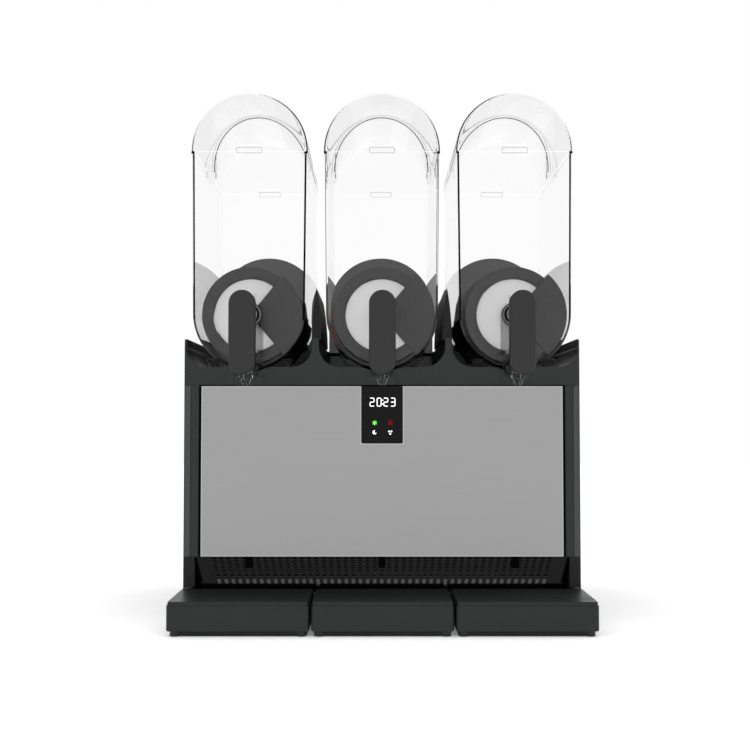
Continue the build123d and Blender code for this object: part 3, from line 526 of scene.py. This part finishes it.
def buildDisplay():
    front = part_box("display_glass")[0].y - displaySet["lift"] * displaySet["seat"]
    white = litPaint("displayWhite", *displaySet["white"])
    green = litPaint("displayGreen", *displaySet["green"])
    red = litPaint("displayRed", *displaySet["red"])
    width, height = displaySet["digitWidth"], displaySet["digitHeight"]
    base = displaySet["digitCentre"] - height / 2
    pieces = []
    for index, (digit, centre) in enumerate(zip(displaySet["digits"], displaySet["digitPlaces"])):
        for number, stroke in enumerate(digitStrokes[digit]):
            points = [(centre + (x - 0.5) * width, base + z * height) for x, z in stroke]
            if len(points) == 2:
                path = [Vector(point) for point in points], False
            else:
                path = roundedPath(points, displaySet["stroke"] * displaySet["cornerShare"])
            pieces.append(litStroke(f"digit{index}{number}", path, front, white))
    for side in (-1, 1):
        centreZ = displaySet["digitCentre"] + side * displaySet["colonRise"]
        dot = ringPoints(displaySet["colonX"], centreZ, displaySet["colonRadius"], displaySet["colonSides"])
        pieces.append(litShape(f"colon{side + 1}", dot, front, white))
    size = displaySet["iconSize"]
    leftIcon, rightIcon = (displaySet["iconShift"] + side * displaySet["iconX"] for side in (-1, 1))
    upper, lower = displaySet["upperIcon"], displaySet["lowerIcon"]
    star = ringPoints(leftIcon, upper, size * displaySet["starSize"], displaySet["starPoints"], math.pi / 2,
                      displaySet["starInner"])
    pieces.append(litShape("frostStar", star, front, green))
    half = size / 2
    square = [(rightIcon - half, upper - half), (rightIcon + half, upper - half),
              (rightIcon + half, upper + half), (rightIcon - half, upper + half)]
    pieces.append(litShape("stopSquare", square, front, red))
    pieces.append(litShape("moon", crescent(leftIcon, lower, size * displaySet["moonSize"]), front, white))
    for index, angle in enumerate(displaySet["lobeAngles"]):
        lobeX = rightIcon + math.cos(math.radians(angle)) * size * displaySet["lobeReach"]
        lobeZ = lower + math.sin(math.radians(angle)) * size * displaySet["lobeReach"]
        lobe = ringPoints(lobeX, lobeZ, size * displaySet["lobeSize"], displaySet["lobeSides"])
        pieces.append(litShape(f"dropLobe{index}", lobe, front, white))
    print("stage: display lit,", len(pieces), "pieces")


# Mesh helpers
meshSet = {"smoothAngle": 35, "mergeGap": 0.001 * mm, "latheSteps": 96, "lineSteps": 2}


def newPiece(name, shape, materials, body, smoothAngle=meshSet["smoothAngle"]):
    bmesh.ops.recalc_face_normals(shape, faces=shape.faces)
    mesh = bpy.data.meshes.new(name)
    shape.to_mesh(mesh)
    shape.free()
    for material in materials:
        mesh.materials.append(finishes[material])
    for face in mesh.polygons:
        face.use_smooth = True
    mesh.set_sharp_from_angle(angle=math.radians(smoothAngle))
    piece = bpy.data.objects.new(name, mesh)
    bpy.context.scene.collection.objects.link(piece)
    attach(piece, body)
    return piece


def nodeShape(name):
    source = nodes[name].data
    shape = bmesh.new()
    spots = [shape.verts.new(vert.co) for vert in source.vertices]
    for face in source.polygons:
        shape.faces.new([spots[index] for index in face.vertices])
    bmesh.ops.remove_doubles(shape, verts=shape.verts, dist=meshSet["mergeGap"])
    return shape


def addBox(shape, low, high, slot=0, edge=0.0):
    middle = (Vector(low) + Vector(high)) / 2
    size = Vector(high) - Vector(low)
    made = bmesh.ops.create_cube(shape, size=1.0,
                                 matrix=Matrix.Translation(middle) @ Matrix.Diagonal((*size, 1.0)))
    faces = {face for vert in made["verts"] for face in vert.link_faces}
    for face in faces:
        face.material_index = slot
    if edge:
        edges = {side for vert in made["verts"] for side in vert.link_edges}
        bmesh.ops.bevel(shape, geom=list(edges), offset=edge, segments=2, affect="EDGES")


def addLathe(shape, profile, centreX, centreZ, closed):
    count = meshSet["latheSteps"]
    turns = [2 * math.pi * step / count for step in range(count)]
    rings = []
    for radius, depth in profile:
        rings.append([shape.verts.new((centreX + radius * math.cos(turn), depth,
                                       centreZ + radius * math.sin(turn))) for turn in turns])
    if closed:
        rings.append(rings[0])
    else:
        shape.faces.new(rings[0])
        shape.faces.new(rings[-1])
    for first, second in zip(rings, rings[1:]):
        for step in range(count):
            after = (step + 1) % count
            shape.faces.new((first[step], first[after], second[after], second[step]))


# A thin line along an edge, kept out of reflections
def edgeLine(name, points, thickness, material, body, closed=False):
    data = bpy.data.curves.new(name, "CURVE")
    data.dimensions = "3D"
    data.bevel_depth = thickness
    data.bevel_resolution = meshSet["lineSteps"]
    data.use_fill_caps = True
    line = data.splines.new("POLY")
    line.points.add(len(points) - 1)
    for spot, point in zip(line.points, points):
        spot.co = (*point, 1)
    line.use_cyclic_u = closed
    data.materials.append(finishes[material])
    piece = bpy.data.objects.new(name, data)
    piece.visible_glossy = False
    bpy.context.scene.collection.objects.link(piece)
    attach(piece, body)


# Intake grille: fine cross bars that turn the tall slots into small square holes, a black screen behind them
# that paints the shade inside the intake, and a paler ribbed strip along the foot
grilleSet = {
    "start": 8 * mm, "length": 50 * mm, "rows": 7, "barShare": 0.28, "halfWidth": 258 * mm,
    "barBack": 1.3 * mm, "barThickness": 1.0 * mm, "barEdge": 0.2 * mm,
    "screenBack": 4.5 * mm, "screenMargin": 4 * mm, "screenThickness": 0.4 * mm,
    "stripPitch": 11 * mm, "stripCell": 5.6 * mm, "stripTop": 79 * mm, "stripDepth": 16 * mm,
    "stripHalfWidth": 253 * mm, "stripThickness": 1.0 * mm, "stripProud": 0.3 * mm, "stripEdge": 0.3 * mm,
    "plateDepth": 2.67 * mm,
}


def buildGrille():
    low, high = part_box("intake_grille")
    slope = Vector((0, high.y - grilleSet["plateDepth"] - low.y, low.z - high.z)).normalized()
    top = Vector((0, low.y, high.z))
    turn = Matrix.Rotation(math.atan2(slope.z, slope.y), 4, "X")
    pitch = grilleSet["length"] / grilleSet["rows"]
    bars = bmesh.new()
    for row in range(1, grilleSet["rows"]):
        middle = top + slope * (grilleSet["start"] + row * pitch) + Vector((0, grilleSet["barBack"], 0))
        size = Matrix.Diagonal((2 * grilleSet["halfWidth"], pitch * grilleSet["barShare"],
                                grilleSet["barThickness"], 1.0))
        bmesh.ops.create_cube(bars, size=1.0, matrix=Matrix.Translation(middle) @ turn @ size)
    bmesh.ops.bevel(bars, geom=bars.edges[:], offset=grilleSet["barEdge"], segments=1, affect="EDGES")
    newPiece("grilleBars", bars, ["grillePlastic"], "machine")
    # A black sheet behind the bars: painted shade that keeps the holes dark
    screen = bmesh.new()
    middle = top + slope * (grilleSet["start"] + grilleSet["length"] / 2)
    middle += Vector((0, grilleSet["screenBack"], 0))
    size = Matrix.Diagonal((2 * grilleSet["halfWidth"], grilleSet["length"] + grilleSet["screenMargin"],
                            grilleSet["screenThickness"], 1.0))
    bmesh.ops.create_cube(screen, size=1.0, matrix=Matrix.Translation(middle) @ turn @ size)
    newPiece("grilleShadeScreen", screen, ["shadeBlack"], "machine")
    strip = bmesh.new()
    count = int(2 * grilleSet["stripHalfWidth"] / grilleSet["stripPitch"])
    for index in range(count + 1):
        place = top + slope * (grilleSet["stripTop"] + grilleSet["stripDepth"] / 2)
        place += Vector((-grilleSet["stripHalfWidth"] + index * grilleSet["stripPitch"],
                         -grilleSet["stripProud"], 0))
        size = Matrix.Diagonal((grilleSet["stripCell"], grilleSet["stripDepth"],
                                grilleSet["stripThickness"], 1.0))
        bmesh.ops.create_cube(strip, size=1.0, matrix=Matrix.Translation(place) @ turn @ size)
    bmesh.ops.bevel(strip, geom=strip.edges[:], offset=grilleSet["stripEdge"], segments=2, affect="EDGES")
    newPiece("grilleStrip", strip, ["grilleStrip"], "machine")
    print("stage: grille placed")


# Black box under each drip tray, between its feet: painted shade that stands in for the shadow beneath the
# tray
trayShadeSet = {"inset": 6 * mm, "low": 0.5 * mm, "high": 7 * mm, "back": -140 * mm, "edge": 0.8 * mm}


def buildTrayShades():
    for module in moduleNames:
        low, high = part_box(f"{module}_drip_tray")
        shadeBox = bmesh.new()
        addBox(shadeBox, (low.x + trayShadeSet["inset"], low.y + trayShadeSet["inset"], trayShadeSet["low"]),
               (high.x - trayShadeSet["inset"], trayShadeSet["back"], trayShadeSet["high"]), 0, trayShadeSet["edge"])
        newPiece(f"{module}TrayShade", shadeBox, ["blackPlastic"], f"{module}_tray_body")
    print("stage: trayShades placed")


# Front panel with rolled edges in a lighter steel as a painted highlight, the black gap round it, a sheet of
# painted shade, and the trim of the columns and legs beside it.
# Each column's outer band is a lighter plastic, a painted highlight of its rounded corner. Gap sheet and
# trims sink a little into the cover that carries them.
panelSet = {
    "trimmed": 1.6 * mm, "edgeBand": 1 * mm, "smoothAngle": 20, "roll": 0.95 * mm, "rollSeat": 0.6,
    "cutHalf": 31 * mm, "cutGap": 0.5 * mm,
    "gapHalfWidth": 273.6 * mm, "gapRise": 2.0 * mm, "gapThickness": 0.5 * mm, "sink": 0.1 * mm,
    "columnOuter": 295.4 * mm, "columnHighlightInner": 285.5 * mm, "columnLow": 94.8 * mm, "columnHigh": 350.4 * mm,
    "columnProud": 2.2 * mm, "columnBevelAndHighlight": 0.8 * mm,
    "legInner": 279 * mm, "legOuter": 294.6 * mm, "legLow": 50 * mm, "legHigh": 94.4 * mm,
    "legThickness": 0.5 * mm,
}


def buildPanel():
    low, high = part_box("front_panel")
    plate = nodeShape("front_panel")
    for vert in plate.verts:
        if abs(vert.co.x) > high.x - panelSet["edgeBand"]:
            vert.co.x -= math.copysign(panelSet["trimmed"], vert.co.x)
    panel = newPiece("panelPlate", plate, ["panelSteel"], "machine", panelSet["smoothAngle"])
    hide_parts("front_panel")
    # The rolled edge takes the lighter steel: a painted highlight
    roll, cut = panelSet["roll"], panelSet["cutHalf"] + panelSet["roll"]
    left, right = low.x + panelSet["trimmed"] + roll, high.x - panelSet["trimmed"] - roll
    bottom, top = low.z + roll, high.z - roll
    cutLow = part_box("display_glass")[0].z - panelSet["cutGap"] - roll
    outline = [(-cut, top), (left, top), (left, bottom), (right, bottom), (right, top), (cut, top),
               (cut, cutLow), (-cut, cutLow)]
    path = [(x, low.y + roll * panelSet["rollSeat"], z) for x, z in outline]
    edgeLine("panelRoll", path, roll, "panelEdgeHighlight", "machine", True)
    back, sunk = high.y, high.y + panelSet["sink"]
    # A black sheet behind the panel: painted shade in the gap round it
    gap = bmesh.new()
    addBox(gap, (-panelSet["gapHalfWidth"], back - panelSet["gapThickness"], low.z),
           (panelSet["gapHalfWidth"], sunk, high.z + panelSet["gapRise"]))
    newPiece("panelGapShade", gap, ["shadeBlack"], "machine")
    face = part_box("front_cover")[0].y
    for side in (-1, 1):
        # Each column: inner band in cover plastic, outer band in a lighter plastic as a painted highlight of
        # the rounded corner
        column = bmesh.new()
        inner, highlightInner, outer = (side * panelSet[key] for key in ("gapHalfWidth", "columnHighlightInner", "columnOuter"))
        for slot, (first, second) in enumerate(((inner, highlightInner), (highlightInner, outer))):
            addBox(column, (min(first, second), back - panelSet["columnProud"], panelSet["columnLow"]),
                   (max(first, second), sunk, panelSet["columnHigh"]), slot, panelSet["columnBevelAndHighlight"])
        name = "leftColumnTrim" if side < 0 else "rightColumnTrim"
        newPiece(name, column, ["coverPlastic", "columnBevelAndHighlight"], "machine")
        leg = bmesh.new()
        inner, outer = side * panelSet["legInner"], side * panelSet["legOuter"]
        addBox(leg, (min(inner, outer), face - panelSet["legThickness"], panelSet["legLow"]),
               (max(inner, outer), face + panelSet["sink"], panelSet["legHigh"]))
        newPiece("leftLegTrim" if side < 0 else "rightLegTrim", leg, ["blackPlastic"], "machine")
    print("stage: panel placed")


# Bowls and lids with rounded front corners, and lines on the lids whose dark and light colours paint the
# shade and highlights of their clear edges
clearSet = {
    "springZ": 706 * mm, "rimZ": 704 * mm, "rimMargin": 1 * mm,
    "bowlReach": 80 * mm, "bowlCorner": 9.5 * mm, "cornerLow": 388 * mm,
    "lidReach": 84 * mm, "lidCorner": 5.0 * mm, "lidLow": 703 * mm,
    "flatAngle": 0.4, "frontGap": 0.01 * mm, "cornerSteps": 6, "flatNormal": 0.9985,
}
lineSet = {
    "archCentre": 711.6 * mm, "archRadius": 78 * mm, "archLight": 82 * mm, "archFootY": 54 * mm,
    "archTopY": -3 * mm, "archFootZ": 704.3 * mm, "archTopZ": 791 * mm, "archSteps": 64,
    "archDark": 0.8 * mm, "thin": 0.4 * mm, "rimY": -126.5 * mm, "rimRadius": 87.5 * mm, "rimSteps": 96,
    "tabHalf": 19 * mm, "tabLow": 700.6 * mm, "tabHigh": 708.8 * mm, "tabLowerCut": 1 * mm,
    "tabUpperCut": 2 * mm, "tabFront": -135.9 * mm, "tabBack": 202.9 * mm,
    "clipX": 76.4 * mm, "clipY": 53 * mm, "clipMarks": ((744, 735, 0.65), (735, 710, 0.3), (710, 702, 0.65)),
}


# Only corners beyond the reach round the centre are rounded; wide flat walls then keep their own normals
def roundFront(name, centreX, centreZ, reach, lowest, highest, offset, roundBelow, material, body):
    shape = nodeShape(name)
    bmesh.ops.dissolve_limit(shape, angle_limit=math.radians(clearSet["flatAngle"]), verts=shape.verts,
                             edges=shape.edges)
    corner = []
    for side in shape.edges:
        middle = (side.verts[0].co + side.verts[1].co) / 2
        onFront = max(abs(vert.co.y - bowlFront) for vert in side.verts) < clearSet["frontGap"]
        drop = middle.z - centreZ if (middle.z < centreZ) == roundBelow else 0.0
        if onFront and math.hypot(middle.x - centreX, drop) > reach and lowest < middle.z < highest:
            corner.append(side)
    bmesh.ops.bevel(shape, geom=corner, offset=offset, segments=clearSet["cornerSteps"], profile=0.5,
                    affect="EDGES", clamp_overlap=True)
    bmesh.ops.triangulate(shape, faces=shape.faces)
    piece = newPiece(f"{name}Shell", shape, [material], body)
    for face in piece.data.polygons:
        if max(abs(face.normal.x), abs(face.normal.y)) > clearSet["flatNormal"]:
            face.use_smooth = False
    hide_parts(name)
    return len(corner)


def archPoints(centreX, radius):
    rise, steps = lineSet["archTopZ"] - lineSet["archFootZ"], lineSet["archSteps"]
    lean = (lineSet["archTopY"] - lineSet["archFootY"]) / rise
    points = []
    for step in range(steps + 1):
        angle = math.pi * step / steps
        z = lineSet["archCentre"] + radius * math.sin(angle)
        y = lineSet["archFootY"] + (z - lineSet["archFootZ"]) * lean
        points.append((centreX + radius * math.cos(angle), y, z))
    return points


def tabOutline(centreX, y):
    half, low, high = lineSet["tabHalf"], lineSet["tabLow"], lineSet["tabHigh"]
    lower, upper = lineSet["tabLowerCut"], lineSet["tabUpperCut"]
    corners = ((-1, 0, low + lower), (-1, 0, high - upper), (-1, upper, high), (1, upper, high),
               (1, 0, high - upper), (1, 0, low + lower), (1, lower, low), (-1, lower, low))
    return [(centreX + side * half - side * cut, y, z) for side, cut, z in corners]


# Dark lines are painted shade where the clear edges look dark, light lines are painted highlights along them
def drawLidLines(module, centreX):
    body, thin = f"{module}_lid_body", lineSet["thin"]
    dark, light = (archPoints(centreX, lineSet[key]) for key in ("archRadius", "archLight"))
    edgeLine(f"{module}ArchDark", dark, lineSet["archDark"], "paintedDarkLine", body)
    edgeLine(f"{module}ArchLight", light, thin, "paintedLightLine", body)
    reach, spring, steps = lineSet["rimRadius"], clearSet["springZ"], lineSet["rimSteps"]
    turns = [math.pi * step / steps for step in range(steps + 1)]
    rim = [(centreX + reach * math.cos(turn), lineSet["rimY"], spring + reach * math.sin(turn))
           for turn in turns]
    edgeLine(f"{module}LidRim", rim, thin, "paintedLightLine", body)
    for label in ("Front", "Back"):
        tab = tabOutline(centreX, lineSet[f"tab{label}"])
        edgeLine(f"{module}Tab{label}", tab, thin, "paintedLightLine", body, True)
    for side in (-1, 1):
        x, y = centreX + side * lineSet["clipX"], lineSet["clipY"]
        for index, (high, low, thickness) in enumerate(lineSet["clipMarks"]):
            mark = [(x, y, high * mm), (x, y, low * mm)]
            edgeLine(f"{module}Clip{side + 1}{index}", mark, thickness * mm, "paintedDarkLine", body)


def buildClearPieces():
    for module in moduleNames:
        low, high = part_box(f"{module}_bowl")
        centreX = (low.x + high.x) / 2
        bowlCount = roundFront(f"{module}_bowl", centreX, augerAxis, clearSet["bowlReach"],
                               clearSet["cornerLow"], clearSet["rimZ"] + clearSet["rimMargin"],
                               clearSet["bowlCorner"], True, "clearPlastic", f"{module}_bowl_body")
        lidCount = roundFront(f"{module}_lid", centreX, clearSet["springZ"], clearSet["lidReach"],
                              clearSet["lidLow"], math.inf, clearSet["lidCorner"], False,
                              "lidPlastic", f"{module}_lid_body")
        drawLidLines(module, centreX)
        print("stage: rounded", module, bowlCount, lidCount)


# Augers: a smooth ring, the paddle with its raised middle, the flight that winds back round the drum,
# and the nut with its turned rings: light bands on the crests are painted highlights, the black elsewhere is
# the nut's dark colour with painted shade in the grooves
augerSet = {
    "ringFront": -111 * mm, "ringBack": -106.5 * mm, "ringInner": 56.5 * mm,
    "ringOuter": 73.5 * mm, "edge": 0.7 * mm, "edgeSoft": 0.3, "plane": -108.75 * mm,
    "flightEnd": 181 * mm, "flightRadius": 78.7 * mm, "flightWidth": 12 * mm, "flightThickness": 4 * mm,
    "flightTurns": 2, "turnSteps": 96,
    "paddleRadius": 80.2 * mm, "paddleHalf": 50, "paddleThickness": 4 * mm, "paddleTilt": 6,
    "paddleEdge": 0.5 * mm, "paddleSteps": 40,
    "dishRadius": 29 * mm, "dishRise": 0.6 * mm, "dishSink": 0.5 * mm,
    "collarRadius": 13 * mm, "collarInset": 1 * mm, "nutSmooth": 60,
}
# Radius and depth of the nut's outline in millimetres, then the bands of radius painted light as highlights
# on the crests
nutProfile = (
    (0.4, -122.2), (4.6, -122.2), (5.6, -121.8), (6.2, -120.0), (8.6, -120.0), (9.4, -121.2),
    (11.6, -121.0), (12.4, -119.8), (12.8, -117.4), (14.6, -117.2), (15.2, -118.6), (16.6, -118.6),
    (17.2, -117.2), (18.4, -117.0), (18.5, -112.0),
)
nutHighlightBands = ((0, 5.5), (9.4, 11.8), (14.7, 17.0))


def addSector(shape, radius, low, high, place):
    half, steps = math.radians(augerSet["paddleHalf"]), augerSet["paddleSteps"]
    turns = [-half + 2 * half * step / steps for step in range(steps + 1)]
    outline = [Vector((0, 0))] + [Vector((math.cos(turn), math.sin(turn))) * radius for turn in turns]
    levels = [[shape.verts.new(place @ Vector((point.x, point.y, level))) for point in outline]
              for level in (low, high)]
    ends = [shape.faces.new(level) for level in levels]
    for index in range(len(outline)):
        after = (index + 1) % len(outline)
        shape.faces.new((levels[0][index], levels[0][after], levels[1][after], levels[1][index]))
    bmesh.ops.bevel(shape, geom=list(ends[1].edges), offset=augerSet["paddleEdge"], segments=2,
                    affect="EDGES")


def addFlight(shape, centreX):
    turns = augerSet["flightTurns"]
    steps = augerSet["turnSteps"] * turns
    inner, outer = augerSet["flightRadius"] - augerSet["flightWidth"], augerSet["flightRadius"]
    half = augerSet["flightThickness"] / 2
    rings = []
    for step in range(steps + 1):
        share = step / steps
        angle = -2 * math.pi * turns * share
        depth = augerSet["plane"] + (augerSet["flightEnd"] - augerSet["plane"]) * share
        ring = []
        for radius, shift in ((inner, -half), (outer, -half), (outer, half), (inner, half)):
            ring.append(shape.verts.new((centreX + radius * math.cos(angle), depth + shift,
                                         augerAxis + radius * math.sin(angle))))
        rings.append(ring)
    for first, second in zip(rings, rings[1:]):
        for index in range(4):
            after = (index + 1) % 4
            shape.faces.new((first[index], first[after], second[after], second[index]))
    shape.faces.new(rings[0])
    shape.faces.new(rings[-1])


def buildAugers():
    front, back, edge = augerSet["ringFront"], augerSet["ringBack"], augerSet["edge"]
    inner, outer, soft = augerSet["ringInner"], augerSet["ringOuter"], edge * augerSet["edgeSoft"]
    ringProfile = ((inner, back), (inner, front + edge), (inner + soft, front + soft),
                   (inner + edge, front), (outer - edge, front), (outer - soft, front + soft),
                   (outer, front + edge), (outer, back))
    collar, inset, thick = augerSet["collarRadius"], augerSet["collarInset"], augerSet["paddleThickness"]
    nutOutline = [(radius * mm, depth * mm) for radius, depth in nutProfile]
    for module in moduleNames:
        low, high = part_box(f"{module}_drive_shaft")
        centreX = (low.x + high.x) / 2
        shape = bmesh.new()
        addLathe(shape, ringProfile, centreX, augerAxis, True)
        addFlight(shape, centreX)
        addLathe(shape, ((collar, back + inset), (collar, front - inset)), centreX, augerAxis, False)
        place = (Matrix.Translation((centreX, augerSet["plane"], augerAxis))
                 @ Matrix.Rotation(math.radians(90), 4, "X")
                 @ Matrix.Rotation(math.radians(augerSet["paddleTilt"]), 4, Vector((1, -1, 0))))
        addSector(shape, augerSet["paddleRadius"], 0, thick, place)
        addSector(shape, augerSet["dishRadius"], thick - augerSet["dishSink"], thick + augerSet["dishRise"],
                  place)
        auger = newPiece(f"{module}AugerFlight", shape, ["augerPlastic"], f"{module}_auger_body")
        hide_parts(f"{module}_auger")
        nut = bmesh.new()
        addLathe(nut, nutOutline, centreX, augerAxis, False)
        # Faces in the highlight bands take the light finish, a painted highlight; the rest take black, with
        # painted shade in the grooves
        for face in nut.faces:
            spot = face.calc_center_median()
            radius = math.hypot(spot.x - centreX, spot.z - augerAxis) / mm
            face.material_index = 0 if any(first < radius < last for first, last in nutHighlightBands) else 1
        newPiece(f"{module}AugerNut", nut, ["nutPlastic", "blackPlastic"], f"{module}_auger_body",
                 augerSet["nutSmooth"])
    print("stage: augers turned")


buildDisplay()
buildGrille()
buildTrayShades()
buildPanel()
buildClearPieces()
buildAugers()
placeCamera()
placeLights()
placeSurround()
placeFloor()
bpy.context.scene.view_settings.view_transform = "Standard"
print("stage: camera, lights and floor placed")
